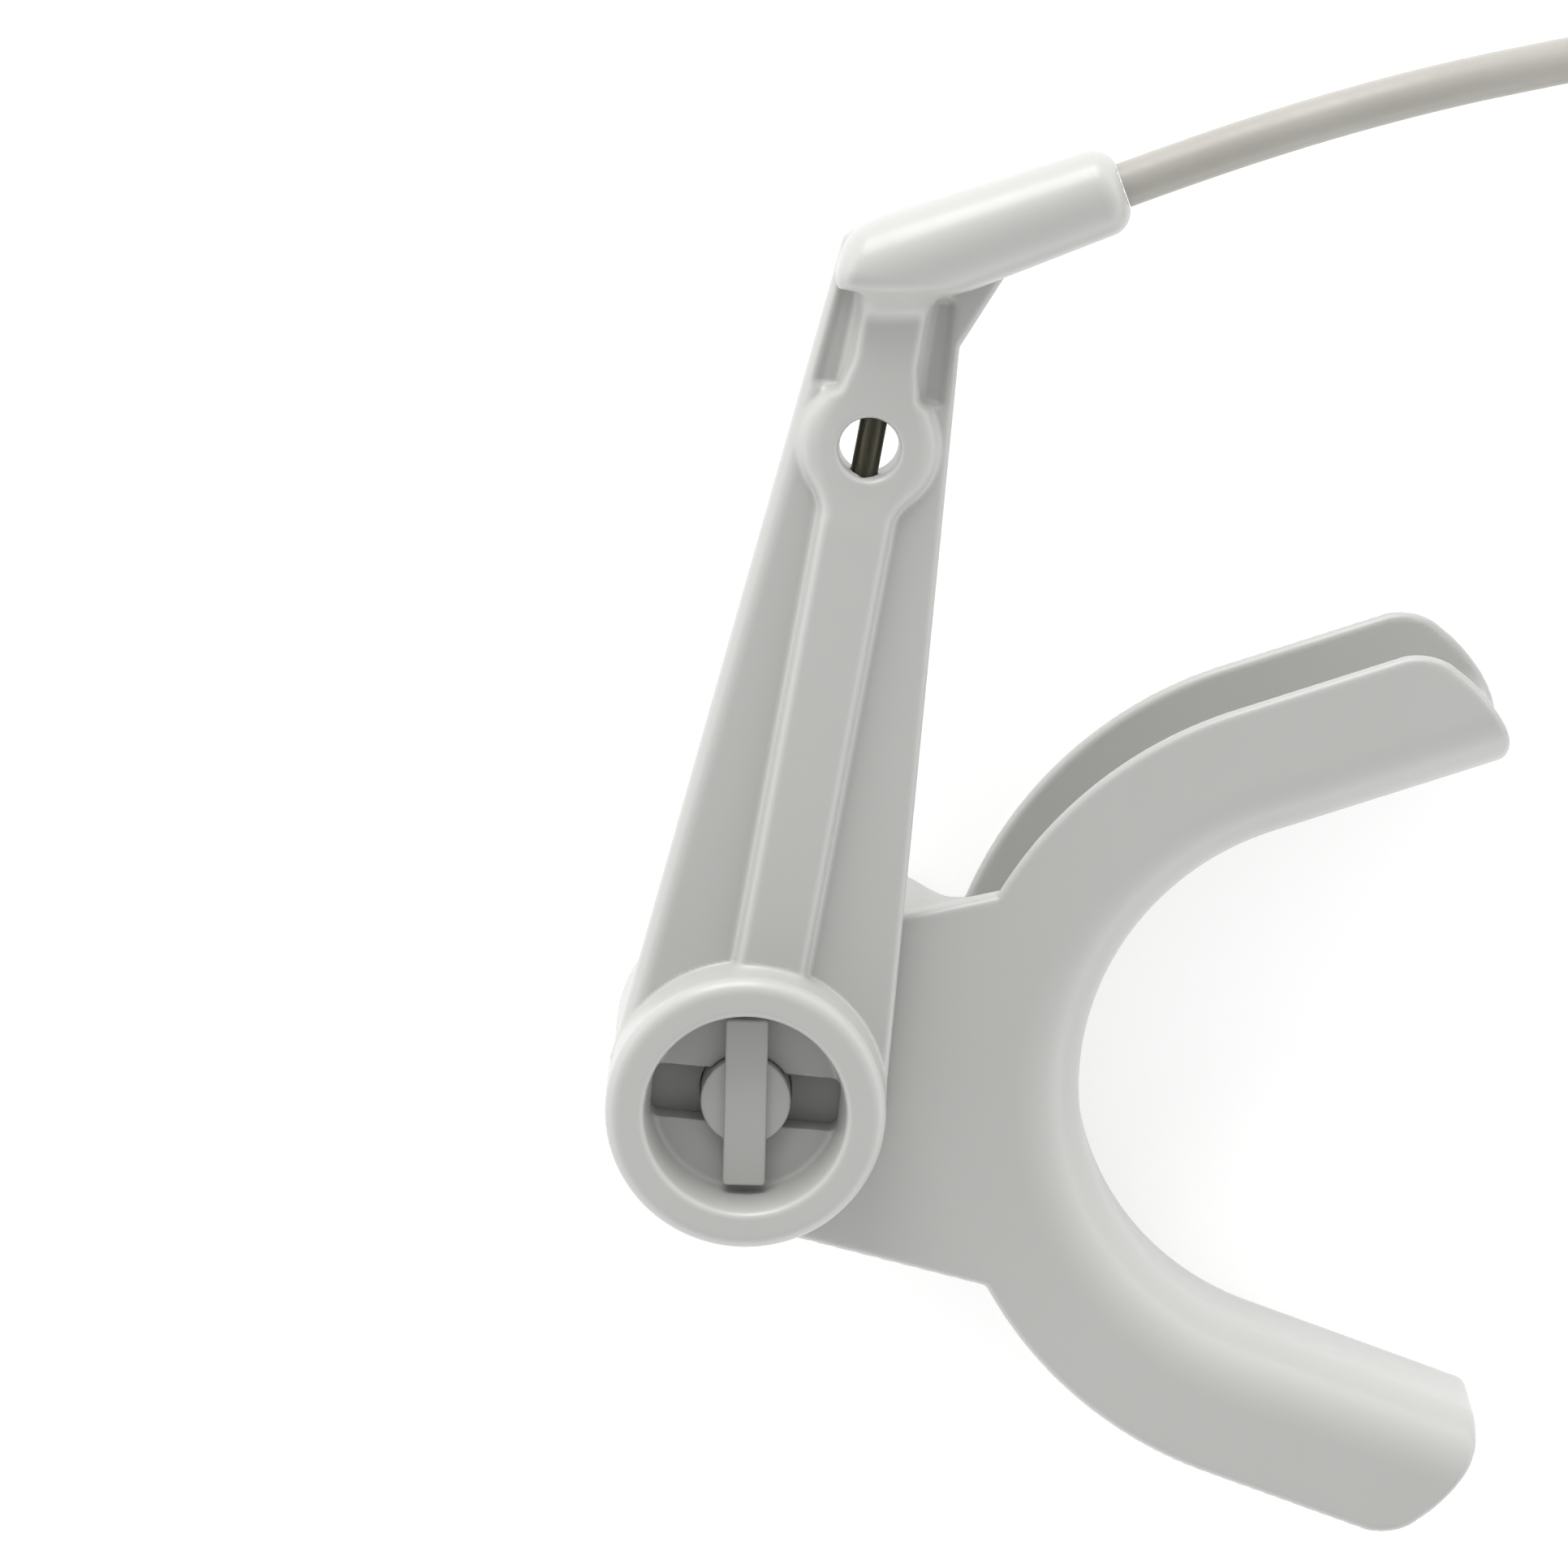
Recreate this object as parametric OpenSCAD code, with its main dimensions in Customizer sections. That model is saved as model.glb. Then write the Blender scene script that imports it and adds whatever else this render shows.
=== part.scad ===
// Finger-lever sensor: a forked cradle, a lever arm that turns on a quarter-turn pin,
// a steel sensor rod set in the arm's pad, and a cable with a coil and a round plug.
// +Z is the pivot axis, +X runs from the pivot to the fork's opening.
// The origin is on the pivot axis, on the flat back of the fork.

/* [Fork] */
// Depth of the fork from its back face to its front face
fork_depth = 19.6; // [17:0.1:22]
// Distance from the pivot to the centre of the fork's arc
cradle_x = 55.2; // [52:0.1:58]
// Radius of the cradle, the inner face of the fork
cradle_r = 25.0; // [23:0.1:26]
// Width of the fork's arms, from inner face to outer rim
prong_w = 12.8; // [11:0.1:14]
// Angle at which each straight prong flares from the fork's axis
flare_angle = 19.4; // [15:0.1:24]
// Length of the straight part of each prong
prong_l = 23.4; // [20:0.1:28]
// Wall thickness of the prongs
prong_wall = 1.5; // [1.2:0.1:2.2]
// Outer radius of the prongs' rounded inner corners
crown_r = 6.0; // [3:0.5:7]
// Thickness of the web's front plate
web_plate = 2.6; // [2:0.1:4]

/* [Pivot] */
// Diameter of the pivot hub
hub_d = 8.06; // [7:0.02:9]
// Length of the cross bar on top of the hub
bar_l = 15.4; // [13:0.1:16]
// Width of the cross bar
bar_w = 3.8; // [3:0.1:4.5]
// Thickness of the cross bar
bar_t = 1.7; // [1.2:0.1:2.4]
// Radial clearance between the hub and the arm
hub_clearance = 0.06; // [0.03:0.01:0.1]

/* [Arm] */
// Angle of the arm from the fork's axis as the object lies at rest
arm_angle = 80.9; // [60:0.1:110]
// Thickness of the arm's plate
plate_t = 2.7; // [2.2:0.1:3.2]
// Gap between the arm's plate and the fork
plate_gap = 0.3; // [0.2:0.05:0.5]
// Outer radius of the cup around the pivot
cup_r = 12.5; // [11.5:0.1:13]
// Height of the cup's rim above the plate
cup_h = 6.0; // [5:0.1:7]
// Taper of each edge of the plate
plate_taper = 5.165; // [4:0.005:6]
// Distance from the pivot to the sensor window
window_s = 60.3; // [55:0.1:64]
// Radius of the round pad at the sensor window
pad_r = 6.1; // [5.5:0.1:6.5]
// Radius of the sensor window
window_r = 2.6; // [2:0.1:3]
// Width of the rib along the arm
rib_w = 6.6; // [5:0.1:7]
// Height of the rib above the plate
rib_h = 1.9; // [1.4:0.1:2.4]
// Distance from the pivot to the bend of the elbow
elbow_s = 77.1; // [74:0.1:80]
// Angle by which the elbow turns from the arm's axis
elbow_turn = 60.1; // [50:0.1:70]
// Length of the elbow tube from its bend to its round end
elbow_l = 20; // [16:0.5:24]

/* [Sensor] */
// Diameter of the steel sensor rod
rod_d = 2.4; // [2:0.1:2.8]
// Length of the steel sensor rod
rod_l = 13; // [9:0.5:15]
// Diameter of the sensor's two lead wires
wire_d = 0.7; // [0.5:0.05:0.8]

/* [Cable] */
// Outer diameter of the cable
cable_d = 4.0; // [3.6:0.1:4.4]
// Turns in each of the coil's two layers
coil_turns = 3; // [3:1:3]
// Mean radius of the coil's middle turn
coil_r = 21.5; // [20:0.1:23]
// Thickness of the tie around the coil
tie_t = 0.7; // [0.5:0.1:0.8]

/* [Plug] */
// Diameter of the plug's grip
grip_d = 12; // [11:0.5:13]
// Length of the plug's grip
grip_l = 20; // [16:0.5:24]
// Outer diameter of the plug's metal shell
shell_d = 9.4; // [8.5:0.1:10]
// Length of the shell that stands out of the grip
shell_l = 10; // [8:0.5:12]
// Number of contact pins
pin_count = 4; // [4:1:4]

/* [Hidden] */
$fn = 64;
eps = 0.01;

// Fork
rim_r = cradle_r + prong_w;
tangent_angle = 90 + flare_angle;
arc_overlap = 4;
prong_end_r = 7.8;
prong_end_s = prong_l - prong_end_r;
prong_end_u = 5.2;
web_edge = 12.96;
web_taper = 0.2412;
neck_x = 22.4;
hub_end_r = 12.1;
hub_join_x = 3;
hub_join_y = hub_end_r - 0.2;
valley_x = 18.6;
valley_y = 13.2;
shoulder_x = 11;
shoulder_end = [15, 14.6];
web_end_x = 35;
web_end_y = 14;
socket_floor = 4;
socket_flat = 0.8;
pin_foot_h = 10;
web_cell_x = [[9.6, 17.2], [18.6, 27.2]];
web_cell_y = [1, 11];
hub_slot_x = [-2.2, 8.2];
hub_slot_y = [8.2, 11.2];

// Pivot
hub_r = hub_d / 2;
arm_back = fork_depth + plate_gap;
arm_front = arm_back + plate_t;
bar_gap = 0.2;
hub_rise = 1.1;
bar_z = arm_front + bar_gap;

// Arm, in its own frame: s runs along the arm from the pivot, the frame turned by arm_angle
cup_floor_r = 8.5;
cup_mouth_r = 9.05;
cup_rim_round = 1.4;
cup_inner_round = 0.6;
slot_l = 16.9;
slot_w = 4.9;
slot_corner = 0.9;
slot_angle = -4;
plate_end_s = 79.2;
gusset_s = 70.2;
gusset_tip = [77.2, -9.0];
gusset_end = [82, -7];
pocket_depth = 0.9;
pocket_corners = [[66.8, 3.4], [75.6, 3.4], [76.6, 4.6], [66.8, 5.2]];
pad_step = 0.5;
rib_crown = 1.1;
rib_draft = 0.25;
window_flare = 0.9;
window_flare_h = 1.6;
elbow_r_bend = 4.45;
elbow_r_end = 3.85;
elbow_z = arm_back + 4.1;
elbow_end_round = 2.2;
elbow_back_l = 5.5;
elbow_neck_l = 12;
elbow_limit = [[40, -40], [110, -40], [110, -6], [79, 5.6], [60, 7.3], [40, 7.3]];
rib_z = arm_front + rib_h;
rod_z = arm_back + 2.3;

// Sensor
rod_r = rod_d / 2;
rod_wall = 0.3;
fit = 0.02;
rod_s = window_s - 6;
element_s = rod_s + 0.6;
element_l = 4;
wire_offset = 0.4;
ferrule_l = 5;
ferrule_r = 1.5;
cable_entry = 9;
wires_end = elbow_l - cable_entry - ferrule_l;
wires_r = rod_r - 0.1;
ferrule_gap = 0.4;

// Cable
cable_r = cable_d / 2;
wrap_pitch = 4.1;
coil_centre = [107, 67.5];
coil_base = tie_t + 0.1;
coil_slack = 0.2;
coil_in_r = coil_r - wrap_pitch * coil_turns / 2 - coil_slack;
coil_out_r = coil_r + wrap_pitch * coil_turns / 2 + coil_slack;
coil_h = cable_d + wrap_pitch;
coil_round = 1.8;
tie_w = 5;
tie_angle = 215;
tie_gap = 0.1;
cable_sides = 8;

// The cable's route from the elbow to the coil, and from the coil to the plug
lead_route = [[30.9, 83.2, 24.0], [35, 84.8, 24.0], [42, 87.4, 24.0], [50, 90.0, 23.6],
              [58, 92.1, 22.3], [66, 93.6, 19.6], [74, 94.7, 15.8], [82, 95.3, 11.4],
              [90, 95.6, 7.2], [95, 95.6, 4.9], [99, 95.5, 3.6]];
tail_route = [[134.8, 58.5, 6.9], [134.9, 54, 6.8], [135, 49, 6.4], [135, 45, 6.2]];

// Plug, in its own frame: it points along +X from the end of the cable
plug_at = [135, 45, 6.2];
plug_heading = -90;
boot_l = 14;
boot_r_small = 3.0;
boot_r_big = 4.6;
boot_grooves = 4;
groove_w = 0.8;
groove_core_r = boot_r_small - 0.4;
groove_core_step = 0.28;
core_r = 2.4;
flute_count = 12;
flute_r = 0.7;
flute_l = 10;
flute_start = 5;
grip_step = 0.8;
grip_step_l = 2;
shell_r = shell_d / 2;
shell_wall = 0.9;
shell_inside = 6;
grip_end = boot_l + grip_l;
shell_start = grip_end - shell_inside + fit;
shell_neck_r = shell_r - 0.4;
shell_neck_l = 0.5;
insert_r = shell_r - shell_wall - fit;
insert_l = 9;
pin_r = 0.5;
pin_ring_r = 2.3;
pin_l = 8;
pin_start = grip_end - 2;

plastic_white = [0.90, 0.90, 0.88];
plastic_cable = [0.80, 0.80, 0.77];
steel = [0.45, 0.44, 0.40];

// Points along an arc about c, from angle a0 to a1 in n steps
function arc(c, r, a0, a1, n) =
    [for (i = [0:n]) c + r * [cos(a0 + (a1 - a0) * i / n), sin(a0 + (a1 - a0) * i / n)]];

// The unit vector from one point to another
function unit(v) = v / norm(v);

// The direction of a route at point i
function heading(route, i) =
    let (last = len(route) - 1)
    unit(route[min(i + 1, last)] - route[max(i - 1, 0)]);

// One ring of a tube's points, square to the route at point i
function ring(route, i, r, n) =
    let (t = heading(route, i), side = unit(cross(t, [0, 0, 1])), up = cross(side, t))
    [for (k = [0:n - 1]) route[i] + r * (cos(360 * k / n) * side + sin(360 * k / n) * up)];

// A round tube swept along a route of points
module tube(route, r, n) {
    rings = len(route);
    points = [for (i = [0:rings - 1]) each ring(route, i, r, n)];
    sides = [for (i = [0:rings - 2], k = [0:n - 1])
        [i * n + k, i * n + (k + 1) % n, (i + 1) * n + (k + 1) % n, (i + 1) * n + k]];
    start_cap = [for (k = [0:n - 1]) n - 1 - k];
    end_cap = [for (k = [0:n - 1]) (rings - 1) * n + k];
    polyhedron(points = points, faces = concat([start_cap], sides, [end_cap]));
}

// Places children in the arm's frame
module in_arm() {
    rotate([0, 0, arm_angle]) children();
}

// Places children in the elbow tube's frame, which starts at the bend
module in_elbow() {
    in_arm() translate([elbow_s, 0, elbow_z]) rotate([0, 0, -elbow_turn]) children();
}

// Places children in the plug's frame
module in_plug() {
    translate(plug_at) rotate([0, 0, plug_heading]) children();
}

// A round bar along +X from x0 to x1
module bar_x(r, x0, x1) {
    translate([x0, 0, 0]) rotate([0, 90, 0]) cylinder(r = r, h = x1 - x0);
}

// ---- Fork ----

// Section of a prong: inner face at x = 0, open side at +X, back face at y = 0
module channel_block(w, h, r) {
    translate([r, 0]) square([w - r, h]);
    translate([0, r]) square([r + eps, h - 2 * r]);
    for (y = [r, h - r]) translate([r, y]) circle(r = r);
}

module prong_section() {
    difference() {
        channel_block(prong_w, fork_depth, crown_r);
        translate([prong_wall, prong_wall])
            channel_block(prong_w, fork_depth - 2 * prong_wall, crown_r - prong_wall);
    }
}

// The upper half of the channel's arc, which runs a little past the middle into the lower
module prong_arc() {
    translate([cradle_x, 0, 0]) rotate([0, 0, tangent_angle])
        rotate_extrude(angle = 180 + arc_overlap - tangent_angle)
            translate([cradle_r, 0]) prong_section();
}

// The round end of a prong, seen along Z, in the frame of its straight part
module prong_end_outline() {
    translate([-1, -1]) square([prong_end_s + 1, prong_w + 2]);
    translate([prong_end_s, prong_end_u]) circle(r = prong_end_r);
}

// The straight part of the upper prong
module prong_straight() {
    translate([cradle_x, 0, 0]) rotate([0, 0, flare_angle]) translate([0, cradle_r, 0])
        intersection() {
            rotate([90, 0, 90]) linear_extrude(prong_l + 2) prong_section();
            translate([0, 0, -1]) linear_extrude(fork_depth + 2) prong_end_outline();
        }
}

module prong() {
    prong_arc();
    prong_straight();
}

function web_half(x) = web_edge + web_taper * x;

// Outline of the web's front plate, which runs out to the sharp neck corners
module web_front_outline() {
    upper = [[0, hub_join_y], [hub_join_x, web_half(hub_join_x)], [neck_x, web_half(neck_x)],
             [web_end_x, web_end_y]];
    lower = [for (i = [len(upper) - 1:-1:0]) [upper[i].x, -upper[i].y]];
    polygon(concat(upper, lower));
}

// Outline of the web behind the front plate, drawn in at the neck
module web_back_outline() {
    upper = [[0, hub_join_y], [hub_join_x, web_half(hub_join_x)],
             [shoulder_x, web_half(shoulder_x)], shoulder_end, [valley_x - 1, valley_y + 0.2],
             [valley_x, valley_y], [web_end_x, valley_y]];
    lower = [for (i = [len(upper) - 1:-1:0]) [upper[i].x, -upper[i].y]];
    polygon(concat(upper, lower));
}

// The web's mass and the round end around the pivot, before the prongs' round corners
module web_mass() {
    linear_extrude(fork_depth - web_plate + eps) web_back_outline();
    translate([0, 0, fork_depth - web_plate]) linear_extrude(web_plate) web_front_outline();
    cylinder(r = hub_end_r, h = fork_depth);
}

// The web, which ends inside the wall of the prongs' arc
module web() {
    mid_wall = prong_wall / 2;
    difference() {
        web_mass();
        translate([cradle_x, 0, -1]) cylinder(r = cradle_r + crown_r + 0.1, h = fork_depth + 2);
    }
    intersection() {
        web_mass();
        translate([cradle_x, 0, 0]) rotate_extrude()
            translate([cradle_r + mid_wall, mid_wall])
                channel_block(prong_w, fork_depth - prong_wall, crown_r - mid_wall);
    }
}

// One pocket from the back of the web up to its front plate
module web_pocket(x, y) {
    translate([x[0], y[0], -1]) cube([x[1] - x[0], y[1] - y[0], fork_depth - web_plate + 1]);
}

// Cored pockets in the back of the web, either side of its middle rib
module web_pockets() {
    for (side = [0, 1]) mirror([0, side, 0]) {
        for (x = web_cell_x) web_pocket(x, web_cell_y);
        web_pocket(hub_slot_x, hub_slot_y);
    }
}

// The flat that keeps the pivot pin from turning in its socket
module pin_flat(gap) {
    translate([hub_r - socket_flat + gap, -hub_r, 0])
        cube([hub_d, hub_d, socket_floor + pin_foot_h]);
}

module fork_frame() color(plastic_white) {
    difference() {
        union() {
            union() prong();
            mirror([0, 1, 0]) prong();
            web();
        }
        web_pockets();
        difference() {
            translate([0, 0, socket_floor]) cylinder(r = hub_r + fit, h = fork_depth);
            pin_flat(fit);
        }
    }
}

// Hub with a flat on its foot, a little taller than the cup's floor, and the cross bar
// that locks the arm on
module pivot_pin() color(plastic_white) {
    foot_z = socket_floor + fit;
    difference() {
        translate([0, 0, foot_z]) cylinder(r = hub_r, h = bar_z + hub_rise - foot_z);
        pin_flat(0);
    }
    translate([-bar_w / 2, -bar_l / 2, bar_z]) cube([bar_w, bar_l, bar_t]);
}

// ---- Arm ----

// Half width of the arm's plate at a distance s from the pivot
function plate_half(s) = cup_r / cos(plate_taper) - s * tan(plate_taper);

// The arm's plate with its gusset under the elbow
module plate_outline() {
    polygon([[0, -plate_half(0)], [gusset_s, -plate_half(gusset_s)], gusset_tip,
             gusset_end, [plate_end_s, plate_half(plate_end_s)], [0, plate_half(0)]]);
    circle(r = cup_r);
}

// Section of the cup's wall, with rounded rim and a drafted inside
module cup_section() {
    rim_z = arm_front + cup_h;
    outer = arc([cup_r - cup_rim_round, rim_z - cup_rim_round], cup_rim_round, 0, 90, 8);
    inner = arc([cup_mouth_r + cup_inner_round, rim_z - cup_inner_round],
                cup_inner_round, 90, 180, 6);
    polygon(concat([[cup_floor_r, arm_front - 1], [cup_r, arm_front - 1]], outer, inner,
                   [[cup_floor_r, arm_front]]));
}

// The low rib, with a flat-crowned section
module rib(s0, s1, w) {
    shoulder_h = rib_h - 0.6 * rib_crown;
    translate([s0, 0, arm_front - eps]) rotate([90, 0, 90]) linear_extrude(s1 - s0)
        polygon([[-w / 2, 0], [w / 2, 0], [w / 2 - rib_draft, shoulder_h],
                 [w / 2 - rib_crown, rib_h], [rib_crown - w / 2, rib_h],
                 [rib_draft - w / 2, shoulder_h]]);
}

// The pad around the window
module pad() {
    translate([window_s, 0, arm_front - eps]) cylinder(r = pad_r, h = rib_h - pad_step);
}

// The elbow tube, with a rounded end for the cable and its underside cut flush
module elbow() {
    intersection() {
        union() {
            in_elbow_local() rotate([0, 90, 0])
                cylinder(r1 = elbow_r_bend, r2 = elbow_r_end, h = elbow_l - elbow_end_round);
            in_elbow_local() bar_x(elbow_r_bend, -elbow_back_l, eps);
            in_elbow_local() rotate([0, 90, 0]) rotate_extrude()
                polygon(concat([[0, elbow_l - elbow_end_round - eps],
                                [elbow_r_end, elbow_l - elbow_end_round - eps]],
                               arc([elbow_r_end - elbow_end_round, elbow_l - elbow_end_round],
                                   elbow_end_round, 0, 90, 8), [[0, elbow_l]]));
            in_arm_axis() bar_x(rib_w / 2, elbow_s - elbow_neck_l, elbow_s);
        }
        translate([40, -30, arm_back]) cube([70, 60, 20]);
        linear_extrude(60) polygon(elbow_limit);
    }
}

// The elbow's frame within the arm's frame
module in_elbow_local() {
    translate([elbow_s, 0, elbow_z]) rotate([0, 0, -elbow_turn]) children();
}

// The arm's middle axis at the height of the sensor rod
module in_arm_axis() {
    translate([0, 0, rod_z]) children();
}

// Bayonet slot in the cup's floor
module bayonet_slot() {
    rotate([0, 0, slot_angle - arm_angle]) translate([0, 0, arm_back - 1])
        linear_extrude(plate_t + 2) {
            square([slot_l - 2 * slot_corner, slot_w], center = true);
            square([slot_l, slot_w - 2 * slot_corner], center = true);
            for (x = [-1, 1], y = [-1, 1])
                translate([x * (slot_l / 2 - slot_corner), y * (slot_w / 2 - slot_corner)])
                    circle(r = slot_corner);
        }
}

// Recessed panels beside the rib above the pad
module side_pocket() {
    translate([0, 0, arm_front - pocket_depth]) linear_extrude(pocket_depth + 1)
        polygon(pocket_corners);
}

// Window through the pad, flared at the front
module window() {
    translate([window_s, 0, arm_back - 1]) cylinder(r = window_r, h = 10);
    translate([window_s, 0, rib_z - window_flare_h])
        cylinder(r1 = window_r, r2 = window_r + window_flare, h = window_flare_h + 0.1);
}

// Bores for the sensor rod, the wires and the cable's end
module arm_bores() {
    in_arm_axis() bar_x(rod_r + fit, rod_s, rod_s + rod_l + fit);
    in_arm_axis() bar_x(wires_r, rod_s + rod_l, elbow_s);
    translate([elbow_s, 0, rod_z]) sphere(r = wires_r);
    in_elbow_local() translate([0, 0, rod_z - elbow_z]) bar_x(wires_r, 0, wires_end);
    in_elbow_local() bar_x(ferrule_r + ferrule_gap, wires_end - 1.5, elbow_l - cable_entry);
    in_elbow_local() bar_x(cable_r + fit, elbow_l - cable_entry, elbow_l + 1);
}

module arm_body() color(plastic_white) in_arm() {
    difference() {
        union() {
            translate([0, 0, arm_back]) linear_extrude(plate_t) plate_outline();
            rotate_extrude() cup_section();
            rib(cup_r - 1, window_s, rib_w);
            rib(window_s, elbow_s - 2, rib_w - 0.3);
            pad();
            elbow();
        }
        translate([0, 0, arm_back - 1]) cylinder(r = hub_r + hub_clearance, h = plate_t + 2);
        bayonet_slot();
        side_pocket();
        mirror([0, 1, 0]) side_pocket();
        window();
        arm_bores();
    }
}

// ---- Sensor in the arm ----

module sensor_rod() color(steel) in_arm() in_arm_axis() {
    difference() {
        bar_x(rod_r, rod_s, rod_s + rod_l);
        bar_x(rod_r - rod_wall, element_s, rod_s + rod_l + 1);
    }
}

module sensor_element() color([0.25, 0.24, 0.22]) in_arm() in_arm_axis()
    bar_x(rod_r - rod_wall - fit, element_s + fit, element_s + element_l);

// One lead wire: along the rod, round the bend and along the elbow to the ferrule
module lead_wire(side) {
    in_arm() translate([0, 0, rod_z + side * wire_offset]) {
        bar_x(wire_d / 2, element_s + element_l + fit, elbow_s);
        translate([elbow_s, 0, 0]) sphere(r = wire_d / 2);
        translate([elbow_s, 0, 0]) rotate([0, 0, -elbow_turn])
            bar_x(wire_d / 2, 0, wires_end - fit);
    }
}

module lead_wire_1() color("firebrick") lead_wire(1);
module lead_wire_2() color("whitesmoke") lead_wire(-1);

module cable_ferrule() color([0.72, 0.62, 0.36]) in_elbow()
    bar_x(ferrule_r, wires_end, elbow_l - cable_entry - fit);

// ---- Cable ----

module cable_lead() color(plastic_cable) {
    tube(lead_route, cable_r, cable_sides);
    in_elbow() bar_x(cable_r, elbow_l - cable_entry, elbow_l + 0.2);
}

module cable_coil() color(plastic_cable)
    translate([coil_centre.x, coil_centre.y, coil_base]) rotate_extrude()
        translate([coil_in_r, 0]) {
            wide = coil_out_r - coil_in_r;
            translate([coil_round, 0]) square([wide - 2 * coil_round, coil_h]);
            translate([0, coil_round]) square([wide, coil_h - 2 * coil_round]);
            for (x = [coil_round, wide - coil_round], y = [coil_round, coil_h - coil_round])
                translate([x, y]) circle(r = coil_round);
        }

module cable_tail() color(plastic_cable)
    tube(tail_route, cable_r, cable_sides);

// A flat strap closed around the coil's turns
module cable_tie() color([0.20, 0.20, 0.21])
    translate([coil_centre.x, coil_centre.y, coil_base]) rotate([0, 0, tie_angle])
        translate([(coil_in_r + coil_out_r) / 2, 0, coil_h / 2]) rotate([90, 0, 0])
            linear_extrude(tie_w, center = true) difference() {
                wide = coil_out_r - coil_in_r + tie_gap;
                square([wide + 2 * tie_t, coil_h + 2 * tie_t], center = true);
                square([wide, coil_h + fit], center = true);
            }

// ---- Plug ----

// Tapered strain relief with grooves
module plug_boot() color(plastic_cable) in_plug() difference() {
    rotate([0, 90, 0]) cylinder(r1 = boot_r_small, r2 = boot_r_big, h = boot_l);
    for (i = [1:boot_grooves])
        translate([i * boot_l / (boot_grooves + 1) - groove_w / 2, 0, 0]) difference() {
            bar_x(boot_r_big + 1, 0, groove_w);
            bar_x(groove_core_r + i * groove_core_step, -1, 2);
        }
    bar_x(cable_r + fit, -1, boot_l + 1);
}

module plug_grip() color(plastic_cable) in_plug() difference() {
    union() {
        translate([boot_l, 0, 0]) rotate([0, 90, 0])
            cylinder(r1 = grip_d / 2 - grip_step, r2 = grip_d / 2, h = grip_step_l);
        bar_x(grip_d / 2, boot_l + grip_step_l, grip_end);
    }
    for (i = [1:flute_count]) rotate([i * 360 / flute_count, 0, 0])
        translate([boot_l + flute_start, 0, grip_d / 2 + 0.3]) bar_x(flute_r, 0, flute_l);
    bar_x(shell_neck_r + fit, grip_end - shell_inside, grip_end + 1);
    bar_x(core_r, boot_l - 1, grip_end);
}

// Round metal shell on a narrower neck that is set in the grip
module plug_shell() color([0.75, 0.75, 0.76]) in_plug() difference() {
    union() {
        bar_x(shell_neck_r, shell_start, grip_end + shell_neck_l + eps);
        bar_x(shell_r, grip_end + shell_neck_l, grip_end + shell_l);
    }
    bar_x(shell_r - shell_wall, shell_start - 1, grip_end + shell_l + 1);
}

module plug_insert() color([0.16, 0.16, 0.17]) in_plug() difference() {
    bar_x(insert_r, shell_start, shell_start + insert_l);
    for (i = [1:pin_count]) pin_place(i)
        bar_x(pin_r + fit, shell_start - 1, shell_start + insert_l + 1);
}

module pin_place(i) {
    rotate([i * 360 / pin_count + 45, 0, 0]) translate([0, 0, pin_ring_r]) children();
}

module plug_pin(i) color([0.80, 0.68, 0.35]) in_plug() pin_place(i)
    bar_x(pin_r, pin_start, pin_start + pin_l);

module plug_pin_1() plug_pin(1);
module plug_pin_2() plug_pin(2);
module plug_pin_3() plug_pin(3);
module plug_pin_4() plug_pin(4);

fork_frame();
pivot_pin();
arm_body();
sensor_rod();
sensor_element();
lead_wire_1();
lead_wire_2();
cable_ferrule();
cable_lead();
cable_coil();
cable_tail();
cable_tie();
plug_boot();
plug_grip();
plug_shell();
plug_insert();
plug_pin_1();
plug_pin_2();
plug_pin_3();
plug_pin_4();
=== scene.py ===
"""The looks of the forked finger-lever sensor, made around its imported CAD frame.

Lengths are millimetres, as in the part's source, until MM turns them into metres. Each
moulded piece is the zero surface of a distance field: a short formula of rounded solids,
fillets and cuts, which field_piece turns into a fine mesh with the field's own normals.
"""

import itertools
import math

import bpy
import numpy as np
from mathutils import Matrix, Vector


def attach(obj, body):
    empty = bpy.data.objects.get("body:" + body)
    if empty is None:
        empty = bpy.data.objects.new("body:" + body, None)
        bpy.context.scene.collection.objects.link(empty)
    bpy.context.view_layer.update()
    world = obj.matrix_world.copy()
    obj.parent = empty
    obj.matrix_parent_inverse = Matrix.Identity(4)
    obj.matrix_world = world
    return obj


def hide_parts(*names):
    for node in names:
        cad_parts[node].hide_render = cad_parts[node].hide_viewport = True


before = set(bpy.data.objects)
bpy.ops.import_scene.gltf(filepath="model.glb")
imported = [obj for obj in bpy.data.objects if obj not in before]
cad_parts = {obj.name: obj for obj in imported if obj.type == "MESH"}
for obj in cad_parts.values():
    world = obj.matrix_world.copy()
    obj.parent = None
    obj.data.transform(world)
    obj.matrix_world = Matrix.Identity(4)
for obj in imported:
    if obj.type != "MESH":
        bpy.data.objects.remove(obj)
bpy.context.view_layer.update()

MM = 0.001

# The fork: d runs along a straight prong, u out from the cradle's face to the prong's rim
FORK_DEPTH = 19.6
CRADLE_X = 55.2
CRADLE_R = 25.0
PRONG_W = 12.8
PRONG_WALL = 1.5
CROWN_R = 6.0
FLARE = math.radians(19.4)
PRONG_END_D = 9.5
PRONG_END_U = 5.2
PRONG_END_R = 13.4
PRONG_CORNER_D = 18.3
PRONG_SLANT = math.radians(32)
PRONG_CORNER_R = 2.4
WEB_PLATE = 2.6
WEB_EDGE = 12.96
WEB_TAPER = 0.2412
SHOULDER_X = 11.0
VALLEY_X = 18.6
VALLEY_Y = 13.2
HUB_END_R = 12.1
SOCKET_FLOOR = 4.0
WEB_CELLS = ((9.6, 17.2, 1.0, 11.0), (18.6, 27.2, 1.0, 11.0), (-2.2, 8.2, 8.2, 11.2))
WEB_CELL_R = 1.0

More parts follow.
